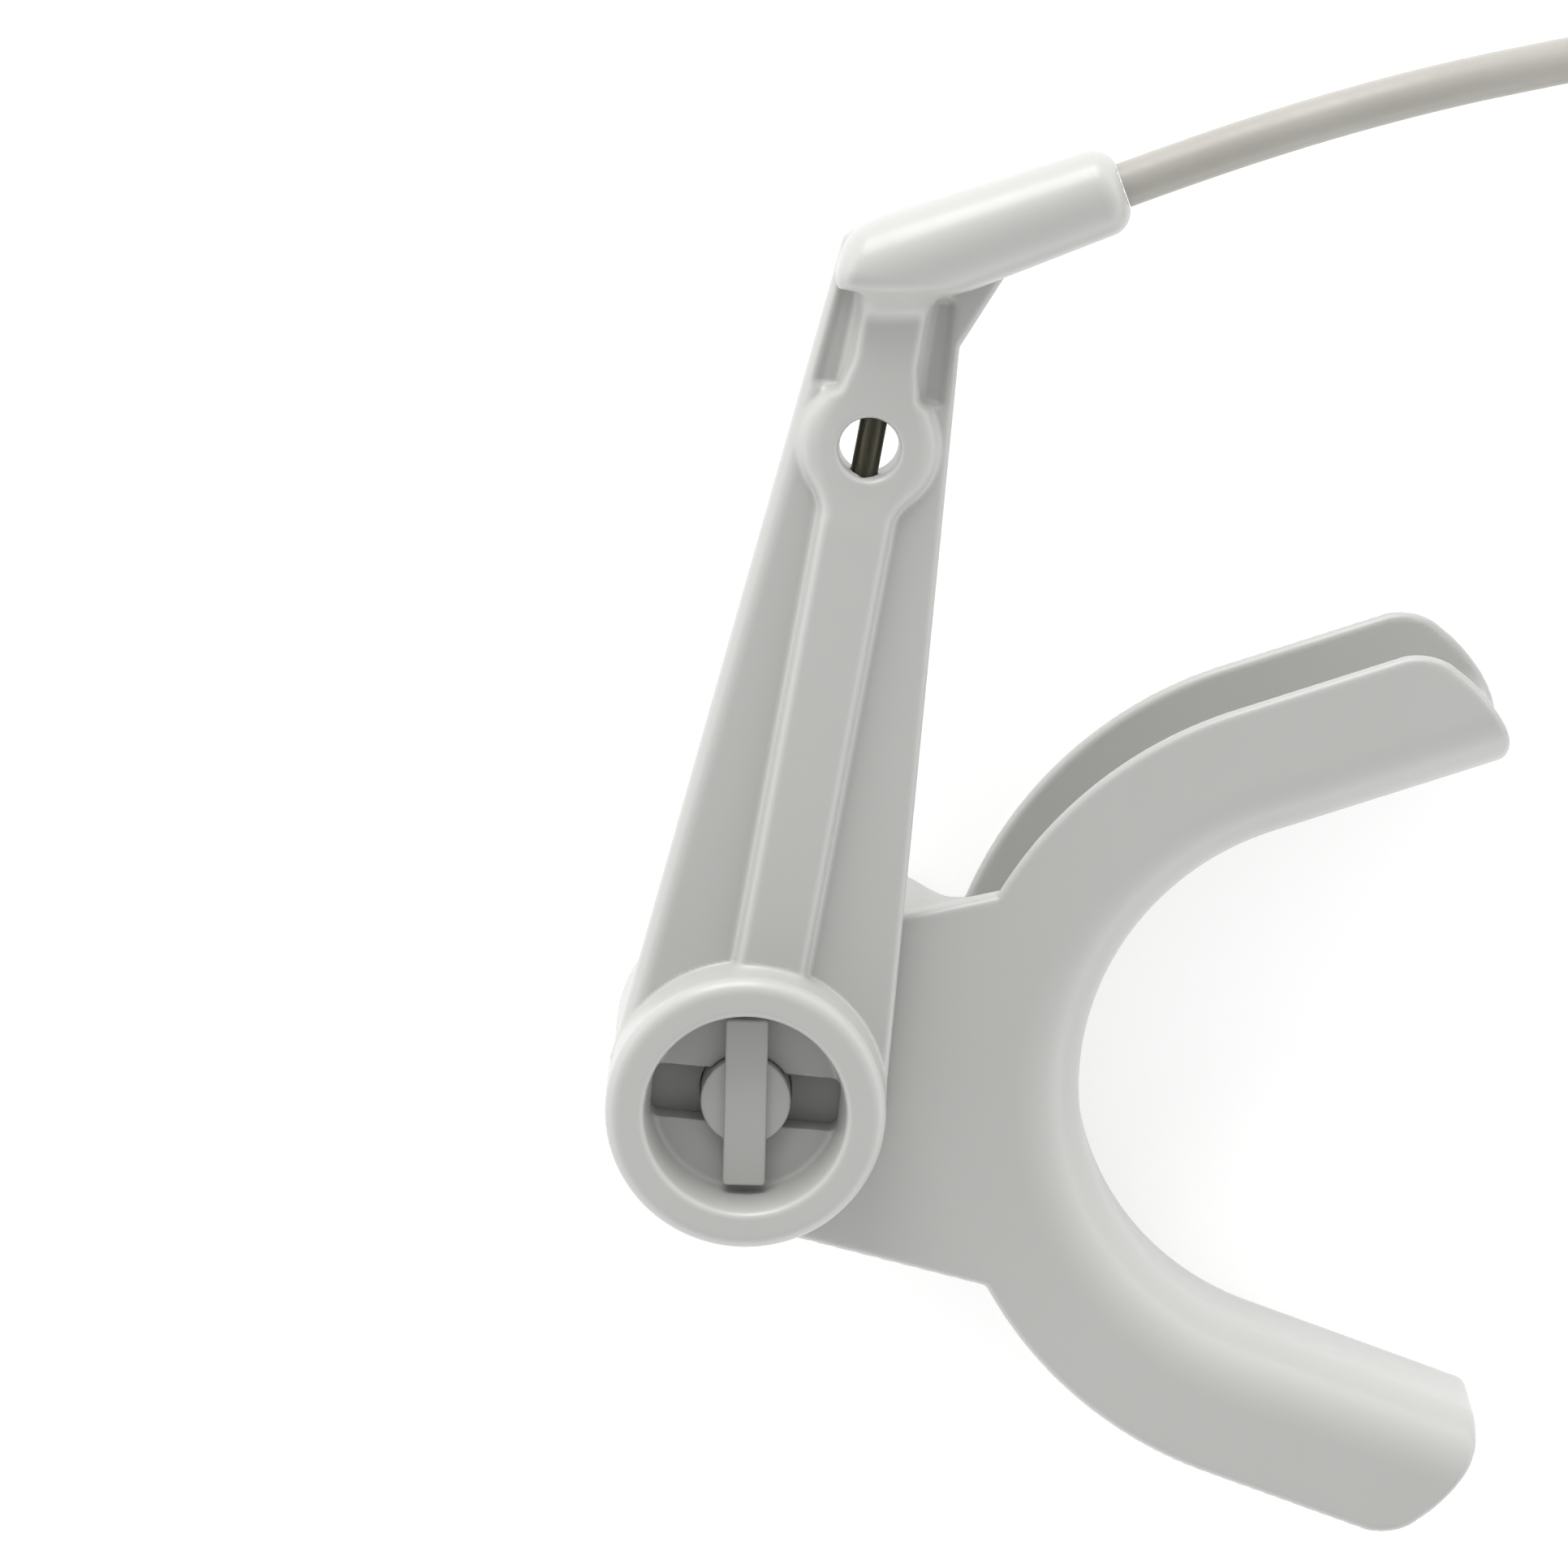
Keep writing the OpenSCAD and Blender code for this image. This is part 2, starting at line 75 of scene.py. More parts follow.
# The pivot
HUB_R = 4.03
HUB_RISE = 1.1
BAR_L = 15.4
BAR_W = 3.8
BAR_T = 1.7
FIT = 0.02

# The arm: s runs along it from the pivot, v to its left, z up
ARM_ANGLE = math.radians(80.9)
ARM_BACK = 19.9
PLATE_T = 2.7
ARM_FRONT = ARM_BACK + PLATE_T
BAR_GAP = 0.2
BAR_Z = ARM_FRONT + BAR_GAP
CUP_R = 12.5
CUP_H = 6.0
RIM_Z = ARM_FRONT + CUP_H
CUP_FLOOR_R = 8.5
CUP_MOUTH_R = 9.05
RIM_OUTER_ROUND = 1.4
RIM_INNER_ROUND = 0.6
PLATE_TAPER = math.radians(5.165)
PLATE_END_S = 79.2
PLATE_END_V = 4.1
PLATE_CORNER_S = 77.9
PLATE_EDGE_R = 1.2
PLATE_EDGE_R_STEP = 0.5
GUSSET_S = 70.2
GUSSET_TIP = (77.2, -9.0)
GUSSET_END = (82, -7)
WINDOW_S = 60.3
WINDOW_R = 2.6
WINDOW_FLARE = 0.2
PAD_R = 6.1
PAD_DROP = 0.2
PAD_NECK_R = 1.2
RIB_W = 6.6
RIB_H = 1.9
RIB_Z = ARM_FRONT + RIB_H
RIB_DRAFT = 0.16
RIB_CROWN = 0.012
POCKET_DEPTH = 0.7
POCKET_CORNERS = [(65.4, 4.0), (73.6, 3.8), (73.6, 4.4), (65.4, 5.0)]
NUB_PLACE = (1.4, 12.15, ARM_FRONT - 0.6)
NUB_R = 0.45
BORE_R = 4.09
SLOT_L = 16.9
SLOT_W = 4.9
SLOT_CORNER = 0.9
SLOT_ANGLE = math.radians(-4)
ELBOW_S = 77.1
ELBOW_TURN = math.radians(60.1)
ELBOW_L = 20.0
ELBOW_Z = ARM_BACK + 4.1
ELBOW_R_BEND = 4.45
ELBOW_R_END = 3.85
ELBOW_ROUND = 2.2
ELBOW_BACK_S = 73.6
ELBOW_BACK_ROUND = 2.6
ELBOW_EDGE_ROUND = 1.7
ELBOW_FILLET = 3.0
ELBOW_LIMIT = [(40, -40), (110, -40), (110, -6), (79.2, 5.35), (40, 8.9), (39, 8.9)]
ROD_R = 1.2
ROD_S = WINDOW_S - 6
ROD_L = 13.0
ROD_Z = ARM_BACK + 2.3
WIRES_R = ROD_R - 0.1
WIRES_END = 8.0
CABLE_ENTRY = 9.0

# The cable, its coil and its plug
CABLE_D = 4.0
CABLE_R = CABLE_D / 2
WRAP_PITCH = 4.1
COIL_X = 107.0
COIL_Y = 67.5
LAY_Z = 2.8
TAIL_SAG = 2.4
COIL_RADII = (25.8, 21.7, 17.6)
COIL_START = 78.0
COIL_STEP = 0.18
COIL_LEAVE = 0.13
LEAD_ROUTE = [
    (30.9, 83.2, 24.0), (35, 84.8, 24.0), (42, 87.4, 24.0), (50, 90.0, 23.6),
    (58, 92.1, 22.3), (66, 93.6, 19.6), (74, 94.7, 15.8), (82, 95.3, 11.4),
    (90, 95.6, 7.2), (95, 95.6, 4.9), (99, 95.5, 3.6), (103.5, 95.0, 3.0),
]
TAIL_ROUTE = [(134.8, 58.5, 6.9), (134.9, 54, 6.8), (135, 49, 6.4), (135, 45, 6.2)]

# The light: how bright the sky is at a height, from the horizon (0) to straight above (1)
SKY_BANDS = ((0.0, 1.0), (0.25, 0.68), (0.5, 0.40), (1.0, 0.11))
SKY_STRENGTH = 3.0


# ---- The camera ----

def make_camera():
    """A long lens that looks down on the cup, tilted towards the fork's upper side."""
    tilt = math.radians(13.70)
    roll = math.radians(1.296)
    to_right, upwards, distance = 3.43, 29.46, 620.9
    right = Vector((math.cos(roll), math.sin(roll), 0))
    up = Vector((-math.sin(roll) * math.cos(tilt), math.cos(roll) * math.cos(tilt),
                 -math.sin(tilt)))
    back = right.cross(up)
    place = Vector((0, 0, RIM_Z)) + to_right * right + upwards * up + distance * back
    data = bpy.data.cameras.new("camera")
    data.sensor_width = 36
    data.lens = 160.8
    data.clip_start = 0.01
    camera = bpy.data.objects.new("camera", data)
    bpy.context.scene.collection.objects.link(camera)
    turn = Matrix((right, up, back)).transposed().to_4x4()
    camera.matrix_world = Matrix.Translation(place * MM) @ turn
    bpy.context.scene.camera = camera


# ---- Materials ----

def new_material(name, color, roughness, **inputs):
    """A Principled material with its plain values set, and the nodes that build on it."""
    material = bpy.data.materials.new(name)
    material.use_nodes = True
    nodes = material.node_tree.nodes
    shader = nodes["Principled BSDF"]
    shader.inputs["Base Color"].default_value = (*color, 1)
    shader.inputs["Roughness"].default_value = roughness
    for key, value in inputs.items():
        socket = "IOR" if key == "ior" else key.replace("_", " ").title()
        shader.inputs[socket].default_value = value
    return material, nodes, material.node_tree.links, shader


def object_coordinates(nodes):
    """A place on the piece in metres, which stays with the piece when it moves."""
    return nodes.new("ShaderNodeTexCoord").outputs["Object"]


def noise(nodes, links, vector, scale, detail=3.0, stretch=(1, 1, 1)):
    """A noise whose features are about 1 / scale of a metre across."""
    mapping = nodes.new("ShaderNodeMapping")
    mapping.inputs["Scale"].default_value = stretch
    links.new(vector, mapping.inputs["Vector"])
    texture = nodes.new("ShaderNodeTexNoise")
    texture.inputs["Scale"].default_value = scale
    texture.inputs["Detail"].default_value = detail
    links.new(mapping.outputs["Vector"], texture.inputs["Vector"])
    return texture.outputs["Fac"]


def spread(nodes, links, value, low, high):
    """Maps a noise from its usual 0.3 to 0.7 onto low to high."""
    ranged = nodes.new("ShaderNodeMapRange")
    ranged.inputs["From Min"].default_value = 0.3
    ranged.inputs["From Max"].default_value = 0.7
    ranged.inputs["To Min"].default_value = low
    ranged.inputs["To Max"].default_value = high
    links.new(value, ranged.inputs["Value"])
    return ranged.outputs["Result"]


def blend_colors(nodes, links, fac, first, second):
    """The first colour where fac is 0, the second where it is 1."""
    mix = nodes.new("ShaderNodeMix")
    mix.data_type = "RGBA"
    mix.inputs["A"].default_value = (*first, 1)
    mix.inputs["B"].default_value = (*second, 1)
    links.new(fac, mix.inputs["Factor"])
    return mix.outputs["Result"]


def bump(nodes, links, height, distance, strength, normal=None):
    """A bumped normal, distance in millimetres, laid over another normal if one is given."""
    node = nodes.new("ShaderNodeBump")
    node.inputs["Distance"].default_value = distance * MM
    node.inputs["Strength"].default_value = strength
    links.new(height, node.inputs["Height"])
    if normal is not None:
        links.new(normal, node.inputs["Normal"])
    return node.outputs["Normal"]


def moulded_plastic(name, color, shade, roughness=0.36, grain=0.15):
    """Glossy moulded plastic: faint flow marks in its colour, an uneven gloss and a fine grain."""
    material, nodes, links, shader = new_material(
        name, color, roughness, coat_weight=0.2, coat_roughness=0.2, ior=1.5)
    place = object_coordinates(nodes)
    flow = noise(nodes, links, place, 55, 4, (1, 0.5, 1))
    links.new(blend_colors(nodes, links, spread(nodes, links, flow, 0, 1), shade, color),
              shader.inputs["Base Color"])
    gloss = noise(nodes, links, place, 420, 3)
    links.new(spread(nodes, links, gloss, roughness - 0.03, roughness + 0.04),
              shader.inputs["Roughness"])
    fine = noise(nodes, links, place, 5200, 2)
    waves = noise(nodes, links, place, 150, 2)
    soft = bump(nodes, links, waves, 0.04, 0.12)
    links.new(bump(nodes, links, fine, 0.006, grain, soft), shader.inputs["Normal"])
    return material


def cable_jacket(name):
    """Soft satin jacket: warm grey, slightly uneven along the cable and finely matt."""
    color = (0.345, 0.335, 0.305)
    shade = (0.315, 0.305, 0.275)
    material, nodes, links, shader = new_material(
        name, color, 0.42, sheen_weight=0.15, sheen_roughness=0.5, ior=1.45)
    place = object_coordinates(nodes)
    cloud = noise(nodes, links, place, 90, 4)
    links.new(blend_colors(nodes, links, spread(nodes, links, cloud, 0, 1), shade, color),
              shader.inputs["Base Color"])
    matt = noise(nodes, links, place, 700, 3)
    links.new(spread(nodes, links, matt, 0.36, 0.5), shader.inputs["Roughness"])
    fine = noise(nodes, links, place, 3500, 3)
    links.new(bump(nodes, links, fine, 0.012, 0.4), shader.inputs["Normal"])
    return material


def drawn_metal(name, color, roughness, along):
    """Metal with fine drawn lines along one axis, and an uneven tarnish."""
    material, nodes, links, shader = new_material(name, color, roughness, metallic=1.0)
    place = object_coordinates(nodes)
    lines = noise(nodes, links, place, 2500, 3, along)
    links.new(spread(nodes, links, lines, roughness - 0.07, roughness + 0.12),
              shader.inputs["Roughness"])
    tarnish = noise(nodes, links, place, 260, 4)
    dark = tuple(0.7 * c for c in color)
    links.new(blend_colors(nodes, links, spread(nodes, links, tarnish, 0, 1), dark, color),
              shader.inputs["Base Color"])
    links.new(bump(nodes, links, lines, 0.004, 0.3), shader.inputs["Normal"])
    return material


def woven_strap(name):
    """Black hook-and-loop strap with a fine cross weave."""
    color = (0.035, 0.035, 0.038)
    material, nodes, links, shader = new_material(
        name, color, 0.75, sheen_weight=0.4, sheen_roughness=0.4)
    place = object_coordinates(nodes)
    threads = []
    for direction in ("X", "Y"):
        wave = nodes.new("ShaderNodeTexWave")
        wave.bands_direction = direction
        wave.inputs["Scale"].default_value = 700
        wave.inputs["Distortion"].default_value = 0.6
        links.new(place, wave.inputs["Vector"])
        threads.append(wave.outputs["Fac"])
    weave = nodes.new("ShaderNodeMath")
    weave.operation = "MAXIMUM"
    links.new(threads[0], weave.inputs[0])
    links.new(threads[1], weave.inputs[1])
    links.new(blend_colors(nodes, links, weave.outputs["Value"], (0.02, 0.02, 0.022),
                           (0.06, 0.06, 0.065)), shader.inputs["Base Color"])
    links.new(bump(nodes, links, weave.outputs["Value"], 0.08, 0.8), shader.inputs["Normal"])
    return material


# ---- Distance fields: negative inside a solid, zero on its surface ----

def round_max(a, b, r):
    """Where both a and b are solid, their outer edge rounded to radius r."""
    return np.minimum(-r, np.maximum(a, b)) + np.hypot(np.maximum(a + r, 0),
                                                       np.maximum(b + r, 0))


def round_min(a, b, r):
    """Where a or b is solid, their inner corner filled to radius r."""
    return np.maximum(r, np.minimum(a, b)) - np.hypot(np.maximum(r - a, 0),
                                                      np.maximum(r - b, 0))


def cut(a, b, r=0.0):
    """Solid a less solid b, with the new edge rounded to radius r."""
    return round_max(a, -b, r) if r > 0 else np.maximum(a, -b)


def ramp(x, x0, x1):
    """Goes smoothly from 0 at x0 to 1 at x1."""
    t = np.clip((x - x0) / (x1 - x0), 0, 1)
    return t * t * (3 - 2 * t)


def slab(x, low, high):
    """Solid between low and high."""
    return np.abs(x - (low + high) / 2) - (high - low) / 2


def rounded_rectangle(x, y, half_x, half_y, r):
    """Distance to a rectangle about the origin with corners of radius r."""
    qx = np.abs(x) - half_x + r
    qy = np.abs(y) - half_y + r
    return np.hypot(np.maximum(qx, 0), np.maximum(qy, 0)) + np.minimum(np.maximum(qx, qy), 0) - r


def polygon(x, y, corners):
    """Distance to a polygon whose corners run anticlockwise."""
    nearest = np.full(np.broadcast(x, y).shape, 1e9)
    inside = np.zeros(nearest.shape, bool)
    for (ax, ay), (bx, by) in zip(corners, corners[1:] + corners[:1]):
        ex, ey = bx - ax, by - ay
        wx, wy = x - ax, y - ay
        t = np.clip((wx * ex + wy * ey) / (ex * ex + ey * ey), 0, 1)
        nearest = np.minimum(nearest, np.hypot(wx - t * ex, wy - t * ey))
        if ey != 0:
            crosses = ((ay > y) != (by > y)) & (wx < ex * wy / ey)
            inside = inside ^ crosses
    return np.where(inside, -nearest, nearest)


def rod_field(along, side, z, start, end, r):
    """A round bar along one axis."""
    return np.maximum(np.hypot(side, z) - r, slab(along, start, end))


def prong_coordinates(x, y):
    """Distance d along the straight prong, and u out from the cradle's face."""
    rx = x - CRADLE_X
    ry = np.abs(y)
    d = rx * math.cos(FLARE) + ry * math.sin(FLARE)
    w = ry * math.cos(FLARE) - rx * math.sin(FLARE)
    straight = (d > 0) & (w > 0)
    return d, np.where(straight, w, np.hypot(rx, ry)) - CRADLE_R


def web_field(x, y, z):
    """The web: a front plate out to the neck corners, a narrower mass behind it, cored out."""
    side = np.abs(y)
    lean = math.cos(math.atan(WEB_TAPER))
    edge = WEB_EDGE + WEB_TAPER * x
    plate_z = FORK_DEPTH - WEB_PLATE
    front = round_max((side - edge) * lean, slab(z, plate_z, FORK_DEPTH), 0.7)
    narrow = edge + (VALLEY_Y - edge) * ramp(x, SHOULDER_X, VALLEY_X)
    back = round_max((side - narrow) * lean, slab(z, 0, plate_z + 1), 0.5)
    web = np.maximum(np.minimum(front, back), -x)
    hub = round_max(np.hypot(x, y) - HUB_END_R, slab(z, 0, FORK_DEPTH), 0.5)
    web = round_min(web, hub, 0.6)
    for x0, x1, y0, y1 in WEB_CELLS:
        cell = rounded_rectangle(x - (x0 + x1) / 2, side - (y0 + y1) / 2,
                                 (x1 - x0) / 2, (y1 - y0) / 2, WEB_CELL_R)
        web = cut(web, round_max(cell, z - plate_z, 0.8), 0.25)
    socket = np.maximum(np.hypot(x, y) - HUB_R - FIT, SOCKET_FLOOR - z)
    return cut(web, socket)


def channel_face(u, z):
    """Distance outside the channel's outer face, which is round where it meets the cradle."""
    half = FORK_DEPTH / 2
    qu = CROWN_R - u
    qz = np.abs(z - half) - half + CROWN_R
    crown = np.hypot(np.maximum(qu, 0), np.maximum(qz, 0)) + np.minimum(np.maximum(qu, qz), 0)
    return crown - CROWN_R


def prong_outline(d, u):
    """Distance to a prong seen along z: straight rim, slanted end, round tip."""
    tip = np.hypot(np.maximum(d - PRONG_END_D, 0), np.minimum(u - PRONG_END_U, 0)) - PRONG_END_R
    slant = ((d - PRONG_CORNER_D) * math.cos(PRONG_SLANT)
             + (u - PRONG_W) * math.sin(PRONG_SLANT))
    return round_max(round_max(u - PRONG_W, slant, PRONG_CORNER_R), tip, PRONG_CORNER_R)


def fork_field(x, y, z):
    """Two prongs of channel section round the cradle, fully rounded rims, and the web."""
    d, u = prong_coordinates(x, y)
    outer = channel_face(u, z)
    half_wall = PRONG_WALL / 2
    past_rim = np.maximum(prong_outline(d, u) + half_wall, 0)
    wall = np.hypot(past_rim, outer + half_wall) - half_wall
    web = web_field(x, y, z)
    clear_of_crown = np.maximum(web, CROWN_R + 0.1 - u)
    in_crown = np.maximum(np.maximum(web, outer + half_wall), u - CROWN_R - 1)
    fork = np.minimum(wall, np.minimum(clear_of_crown, in_crown))
    return np.maximum(fork, slab(z, 0, FORK_DEPTH))


def pin_field(x, y, z):
    """The hub in its socket, standing a little above the cup's floor, and its cross bar."""
    hub = round_max(np.hypot(x, y) - HUB_R, slab(z, SOCKET_FLOOR + FIT, BAR_Z + HUB_RISE), 0.15)
    bar = round_max(rounded_rectangle(x, y, BAR_W / 2, BAR_L / 2, 0.35),
                    slab(z, BAR_Z, BAR_Z + BAR_T), 0.22)
    return round_min(hub, bar, 0.1)


def plate_half(s):
    """Half the width of the arm's plate: its edges are tangent to the cup."""
    return CUP_R / math.cos(PLATE_TAPER) - s * math.tan(PLATE_TAPER)


def elbow_coordinates(s, v):
    """Along the elbow's tube from the bend, and across it."""
    rs = s - ELBOW_S
    return (rs * math.cos(ELBOW_TURN) - v * math.sin(ELBOW_TURN),
            rs * math.sin(ELBOW_TURN) + v * math.cos(ELBOW_TURN))


def elbow_field(s, v, z):
    """A tapered round tube with a soft end, cut flush with the arm's left edge."""
    along, across = elbow_coordinates(s, v)
    taper = np.clip(along / (ELBOW_L - ELBOW_ROUND), 0, 1)
    radius = ELBOW_R_BEND + (ELBOW_R_END - ELBOW_R_BEND) * taper
    tube = round_max(np.hypot(across, z - ELBOW_Z) - radius, along - ELBOW_L, ELBOW_ROUND)
    tube = round_max(tube, ELBOW_BACK_S - s, ELBOW_BACK_ROUND)
    return round_max(tube, polygon(s, v, ELBOW_LIMIT), ELBOW_EDGE_ROUND)


def cup_field(s, v, z):
    """The ring around the pivot, with a rounded rim and a drafted inside, on its floor."""
    r = np.hypot(s, v)
    wall = CUP_FLOOR_R + (CUP_MOUTH_R - CUP_FLOOR_R) * (z - ARM_FRONT) / CUP_H
    body = round_max(r - CUP_R, z - RIM_Z, RIM_OUTER_ROUND)
    hollow = round_max(r - wall, ARM_FRONT - z, 0.5)
    return cut(body, hollow, RIM_INNER_ROUND)


def rib_field(s, v, z):
    """The crowned rib from the cup to the elbow, which widens to the round pad on its way."""
    width = RIB_W / 2 - 0.25 * ramp(s, WINDOW_S - 4, WINDOW_S + 4)
    pad_r = np.hypot(s - WINDOW_S, v)
    neck = PAD_NECK_R * (1 + ramp(s, WINDOW_S - 3, WINDOW_S + 3))
    outline = round_min(np.abs(v) - width, pad_r - PAD_R, neck)
    outline = np.maximum(outline, slab(s, CUP_R - 1.5, ELBOW_S - 1))
    over_pad = ramp(pad_r, PAD_R + 2, PAD_R - 2)
    crown = RIB_Z - PAD_DROP * over_pad - RIB_CROWN * v * v
    return round_max(outline + RIB_DRAFT * (z - ARM_FRONT), z - crown, 0.8 + over_pad)


def plate_field(s, v, z):
    """The tapered plate with its gusset: softer along its left edge than along its right."""
    start = CUP_R * math.sin(PLATE_TAPER)
    outline = polygon(s, v, [(start, -plate_half(start)), (GUSSET_S, -plate_half(GUSSET_S)),
                             GUSSET_TIP, GUSSET_END, (PLATE_END_S, PLATE_END_V),
                             (PLATE_CORNER_S, plate_half(PLATE_CORNER_S)),
                             (start, plate_half(start))])
    edge_r = PLATE_EDGE_R + PLATE_EDGE_R_STEP * np.clip(v / 3, -1, 1)
    return round_max(outline, z - ARM_FRONT, edge_r)


def cut_pockets(body, s, v, z):
    """Takes out the grooves on both sides of the rib, between the pad and the elbow."""
    for side in (-1, 1):
        pocket = polygon(s, side * v, POCKET_CORNERS) - 0.4
        body = cut(body, round_max(pocket, ARM_FRONT - POCKET_DEPTH - z, 0.5), 0.9)
    return body


def cut_bayonet(body, s, v, z):
    """Takes out the hub's bore and the bar's slot through the cup's floor."""
    turn = SLOT_ANGLE - ARM_ANGLE
    along = s * math.cos(turn) + v * math.sin(turn)
    across = v * math.cos(turn) - s * math.sin(turn)
    slot = rounded_rectangle(along, across, SLOT_L / 2, SLOT_W / 2, SLOT_CORNER)
    opening = np.minimum(slot, np.hypot(s, v) - BORE_R)
    return cut(body, np.maximum(opening, z - ARM_FRONT - 1), 0.15)


def cut_window(body, s, v, z):
    """Takes out the pad's window, a little wider at the front."""
    radius = WINDOW_R + WINDOW_FLARE * ramp(z, RIB_Z - 1.5, RIB_Z - 0.2)
    return cut(body, np.hypot(s - WINDOW_S, v) - radius, 0.45)


def cut_bores(body, s, v, z):
    """Takes out the ways of the rod, the wires and the cable's end."""
    along, across = elbow_coordinates(s, v)
    rod_end = ROD_S + ROD_L
    body = cut(body, rod_field(s, v, z - ROD_Z, ROD_S, rod_end, ROD_R + FIT))
    body = cut(body, rod_field(s, v, z - ROD_Z, rod_end, ELBOW_S, WIRES_R))
    body = cut(body, rod_field(along, across, z - ROD_Z, 0, WIRES_END, WIRES_R))
    cable_end = rod_field(along, across, z - ELBOW_Z, ELBOW_L - CABLE_ENTRY, ELBOW_L + 1,
                          CABLE_R + FIT)
    return cut(body, cable_end, 0.1)


def arm_field(s, v, z):
    """Plate, nub, cup, rib, pad and elbow, less everything that is cut from them."""
    nub_s, nub_v, nub_z = NUB_PLACE
    nub = np.sqrt((s - nub_s) ** 2 + (v - nub_v) ** 2 + (z - nub_z) ** 2) - NUB_R
    body = round_min(plate_field(s, v, z), cup_field(s, v, z), 0.3)
    body = round_min(body, nub, 0.2)
    body = round_min(body, rib_field(s, v, z), 0.5)
    inside_edges = ramp(plate_half(s) - v, 0.8, 4.5) * ramp(v, -5.5, -2.5)
    body = round_min(body, elbow_field(s, v, z), 0.05 + ELBOW_FILLET * inside_edges)
    body = cut_pockets(body, s, v, z)
    body = cut_bayonet(body, s, v, z)
    body = cut_window(body, s, v, z)
    body = round_max(body, ARM_BACK - z, 0.3)
    return cut_bores(body, s, v, z)


# ---- From fields to meshes ----

def crossing_points(value, cells):
    """The mean of the points where the field changes sign on each cell's twelve edges."""
    total = np.zeros((len(cells), 3))
    hits = np.zeros((len(cells), 1))
    for axis in range(3):
        step = np.eye(3, dtype=int)[axis]
        others = [k for k in range(3) if k != axis]
        for i, j in itertools.product((0, 1), repeat=2):
            a = cells.copy()
            a[:, others[0]] += i
            a[:, others[1]] += j
            va = value[tuple(a.T)]
            vb = value[tuple((a + step).T)]
            crosses = (va < 0) != (vb < 0)
            t = np.where(crosses, va / np.where(crosses, va - vb, 1), 0)
            total += np.where(crosses[:, None], a + t[:, None] * step, 0)
            hits += crosses[:, None]
    return total / hits


def net_faces(inside, index):
    """One quad round each grid edge whose ends differ, wound to face out."""
    faces = []
    for axis in range(3):
        u, v = (axis + 1) % 3, (axis + 2) % 3
        first = np.take(inside, range(inside.shape[axis] - 1), axis)
        second = np.take(inside, range(1, inside.shape[axis]), axis)
        edges = np.argwhere(first != second)
        ring = []
        for du, dv in ((0, 0), (1, 0), (1, 1), (0, 1)):
            cell = edges.copy()
            cell[:, u] -= du
            cell[:, v] -= dv
            ring.append(index[tuple(cell.T)])
        quads = np.stack(ring, 1)
        flipped = ~first[tuple(edges.T)]
        quads[flipped] = quads[flipped][:, ::-1]
        faces.append(quads)
    return np.concatenate(faces)


def gradient(field, points, h=0.02):
    """The field's slope at each point, from its values h to either side."""
    columns = []
    for axis in range(3):
        step = np.zeros(3)
        step[axis] = h
        ahead = field(*(points + step).T)
        behind = field(*(points - step).T)
        columns.append((ahead - behind) / (2 * h))
    return np.stack(columns, 1)


def pull_to_surface(field, points, reach, rounds=4):
    """Moves each point down the field's slope onto the surface, by reach at most."""
    start = points.copy()
    for _ in range(rounds):
        slope = gradient(field, points)
        steep = np.maximum((slope ** 2).sum(1), 0.25)
        points = points - (field(*points.T) / steep)[:, None] * slope
        moved = points - start
        length = np.linalg.norm(moved, axis=1, keepdims=True)
        points = start + moved * np.minimum(1, reach / np.maximum(length, 1e-9))
    return points


def field_piece(name, field, low, high, cell, turn=0.0):
    """A mesh object of the surface of a field, turned about Z from the field's own frame."""
    axes = [np.arange(a, b + cell, cell) for a, b in zip(low, high)]
    value = field(axes[0][:, None, None], axes[1][None, :, None], axes[2][None, None, :])
    inside = value < 0
    count = np.zeros([n - 1 for n in inside.shape], np.int8)
    for i, j, k in itertools.product((0, 1), repeat=3):
        count += inside[i:count.shape[0] + i, j:count.shape[1] + j, k:count.shape[2] + k]
    mixed = (count > 0) & (count < 8)
    index = np.full(mixed.shape, -1)
    index[mixed] = np.arange(mixed.sum())
    points = crossing_points(value, np.argwhere(mixed)) * cell + np.array(low)
    points = pull_to_surface(field, points, 0.6 * cell)
    normals = gradient(field, points)
    normals /= np.maximum(np.linalg.norm(normals, axis=1, keepdims=True), 1e-9)
    quads = net_faces(inside, index)
    c, s = math.cos(turn), math.sin(turn)
    spin = np.array([[c, -s, 0], [s, c, 0], [0, 0, 1]])
    return mesh_piece(name, points @ spin.T * MM, quads, normals @ spin.T)


def mesh_piece(name, points, quads, normals=None):
    """A smooth mesh object of quads, in metres, with its own normals if they are given."""
    mesh = bpy.data.meshes.new(name)
    mesh.vertices.add(len(points))
    mesh.vertices.foreach_set("co", points.astype(np.float32).ravel())
    mesh.loops.add(quads.size)
    mesh.loops.foreach_set("vertex_index", quads.astype(np.int32).ravel())
    mesh.polygons.add(len(quads))
    mesh.polygons.foreach_set("loop_start", np.arange(0, quads.size, 4, dtype=np.int32))
    mesh.polygons.foreach_set("use_smooth", np.ones(len(quads), bool))
    mesh.update(calc_edges=True)
    mesh.validate()
    if normals is not None:
        mesh.normals_split_custom_set_from_vertices(normals.tolist())
    piece = bpy.data.objects.new(name, mesh)
    bpy.context.scene.collection.objects.link(piece)
    return piece


# ---- The pieces ----

def dress(piece, material, slot, body, *nodes):
    """Gives a new piece its material, its body and the CAD nodes it stands for; the slot it is
    handed is not used.
    """
    piece.data.materials.clear()
    piece.data.materials.append(material)
    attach(piece, body)
    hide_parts(*nodes)
    return piece


